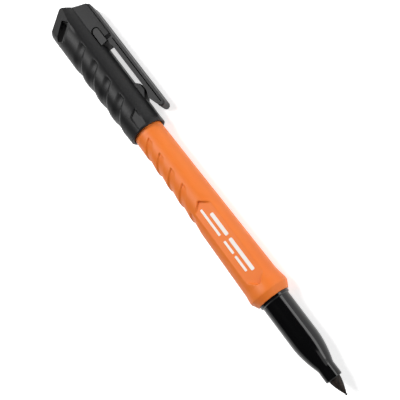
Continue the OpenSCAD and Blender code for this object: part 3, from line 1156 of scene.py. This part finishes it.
@dataclass(frozen=True)
class SoftLamp:
    """A rectangular soft box that faces the marker."""

    name: str
    towards: Vector               # direction from the marker to the lamp
    distance: float               # metres from the marker
    length: float                 # metres along X
    width: float                  # metres across
    power: float                  # watts

    def hang(self) -> None:
        """Adds the lamp to the scene."""
        data = bpy.data.lights.new(self.name, "AREA")
        data.shape, data.size, data.size_y = "RECTANGLE", self.length, self.width
        data.energy = self.power
        lamp = bpy.data.objects.new(self.name, data)
        bpy.context.scene.collection.objects.link(lamp)
        direction = self.towards.normalized()
        lamp.location = direction * self.distance
        across = direction.cross(Vector((1, 0, 0))).normalized()
        lamp.matrix_world = Matrix.Translation(lamp.location) @ Matrix(
            (across.cross(direction), across, direction)).transposed().to_4x4()


@dataclass
class Studio:
    """A pale floor, soft lamps and the camera."""

    lie: Lie
    aim: float = 70.45            # station that the camera looks at
    distance: float = 0.255
    lens: float = 76.5
    ahead: float = 14.4           # degrees that the camera stands towards the nib
    to_clip: float = 8.5          # degrees that it stands towards the clip
    tilt: float = 53.0            # degrees that the marker points down to the right
    lamps: tuple[SoftLamp, ...] = (
        SoftLamp("key_box", Vector((-0.50, -0.05, 0.86)), 1.0, 0.62, 0.40, 8.8),
        SoftLamp("nib_side_fill", Vector((0.74, 0.62, 0.40)), 1.1, 0.9, 0.7, 2.4),
        SoftLamp("side_strip", Vector((0.18, 0.95, 0.22)), 1.0, 0.80, 0.34, 3.6))

    def build(self) -> None:
        """Sets up everything that isn't part of the marker."""
        self.camera()
        self.floor()
        self.world()
        for lamp in self.lamps:
            lamp.hang()
        bpy.context.scene.view_settings.view_transform = "Standard"

    def camera(self) -> None:
        """Places the camera over the marker."""
        move = self.lie.matrix().to_3x3()
        ahead, to_clip = math.radians(self.ahead), math.radians(self.to_clip)
        along = Vector((1, 0, 0))
        side = move @ Vector((0, math.sin(to_clip), math.cos(to_clip)))
        back = math.sin(ahead) * along + math.cos(ahead) * side
        flat = (along - along.dot(back) * back).normalized()
        across = back.cross(flat)
        tilt = math.radians(self.tilt)
        right = math.cos(tilt) * flat + math.sin(tilt) * across
        up = -math.sin(tilt) * flat + math.cos(tilt) * across
        place = self.lie.point(self.aim) + self.distance * back
        turn_to = Matrix((right, up, back)).transposed().to_4x4()
        data = bpy.data.cameras.new("camera")
        data.sensor_width, data.lens = 36.0, self.lens
        data.clip_start, data.clip_end = 0.01, 20.0
        camera = bpy.data.objects.new("camera", data)
        bpy.context.scene.collection.objects.link(camera)
        camera.matrix_world = Matrix.Translation(place) @ turn_to
        bpy.context.scene.camera = camera

    def floor(self) -> None:
        """Lays the pale floor, which stays white where the lamps no longer reach it."""
        bpy.ops.object.select_all(action="DESELECT")
        bpy.ops.mesh.primitive_plane_add(size=12.0, location=(0, 0, 0))
        floor = bpy.context.object
        floor.name = "floor"
        material, tree = new_material("white_studio_paper")
        paper = add_node(tree, "ShaderNodeBsdfDiffuse", {"Color": srgb("#F7F7F7")})
        place = add_node(tree, "ShaderNodeTexCoord").outputs["Object"]
        away = add_node(tree, "ShaderNodeVectorMath", links={0: place}, operation="LENGTH")
        strength = add_node(tree, "ShaderNodeMapRange", {"From Min": 0.25, "From Max": 1.2,
                                                         "To Min": 0.66, "To Max": 1.0},
                            {"Value": away.outputs["Value"]})
        glow = add_node(tree, "ShaderNodeEmission", {"Color": srgb("#FFFFFF")},
                        {"Strength": strength.outputs["Result"]})
        seen = self.seen_ray(tree)
        share = add_node(tree, "ShaderNodeMixShader", links={0: seen, 2: glow.outputs[0]})
        both = add_node(tree, "ShaderNodeAddShader", links={0: paper.outputs[0], 1: share.outputs[0]})
        add_node(tree, "ShaderNodeOutputMaterial", links={"Surface": both.outputs[0]})
        floor.data.materials.append(material)

    def seen_ray(self, tree: bpy.types.NodeTree) -> bpy.types.NodeSocket:
        """Gives 1 for camera, glossy and transmission rays, and 0 for those that light."""
        path = add_node(tree, "ShaderNodeLightPath")
        first = add_node(tree, "ShaderNodeMath",
                         links={0: path.outputs["Is Camera Ray"], 1: path.outputs["Is Glossy Ray"]},
                         operation="MAXIMUM")
        both = add_node(tree, "ShaderNodeMath",
                        links={0: first.outputs[0], 1: path.outputs["Is Transmission Ray"]},
                        operation="MAXIMUM")
        return both.outputs[0]

    def world(self) -> None:
        """Lights the room: pale at the horizon, where it shows as white, and dark overhead."""
        world = bpy.data.worlds.new("studio")
        world.use_nodes = True
        tree = world.node_tree
        tree.nodes.clear()
        place = add_node(tree, "ShaderNodeTexCoord").outputs["Generated"]
        height = add_node(tree, "ShaderNodeSeparateXYZ", links={0: place}).outputs["Z"]
        lit = add_node(tree, "ShaderNodeMapRange",
                       {"From Min": 0.0, "From Max": 0.5, "To Min": 0.35, "To Max": 0.04},
                       {"Value": height}, interpolation_type="SMOOTHSTEP")
        shown = add_node(tree, "ShaderNodeMapRange",
                         {"From Min": 0.24, "From Max": 0.42, "To Min": 1.0, "To Max": 0.04},
                         {"Value": height}, interpolation_type="SMOOTHSTEP")
        strength = add_node(tree, "ShaderNodeMix",
                            links={0: self.seen_ray(tree), 2: lit.outputs["Result"],
                                   3: shown.outputs["Result"]}, data_type="FLOAT")
        back = add_node(tree, "ShaderNodeBackground", {"Color": srgb("#FFFFFF")},
                        {"Strength": strength.outputs[0]})
        add_node(tree, "ShaderNodeOutputWorld", links={"Surface": back.outputs[0]})
        bpy.context.scene.world = world


# ---------------------------------------------------------------- whole marker


def dress_cad_nodes() -> None:
    """Gives the CAD pieces that show as they are their own finishes."""
    for node, finish in (("ink_reservoir", RESERVOIR_FIBRE), ("reservoir_film", FILM_SKIN),
                         ("cap_liner", LINER_SKIN)):
        dress(frame["nodes"][node], finish)


def main() -> None:
    """Builds the marker and its studio, one sub-assembly at a time."""
    logging.basicConfig(level=logging.INFO, format="%(message)s")
    lie = Lie.from_frame()
    sizes = ClipSizes(lie)
    barrel = Barrel(lie)
    writing_end = WritingEnd(lie)
    report(barrel.build())
    report(LabelPrint(barrel).build())
    report(writing_end.build_section())
    report(writing_end.build_nib())
    report(Cap(lie, sizes).build())
    report(PocketClip(lie, sizes).build())
    dress_cad_nodes()
    Studio(lie).build()


if __name__ == "__main__":
    main()
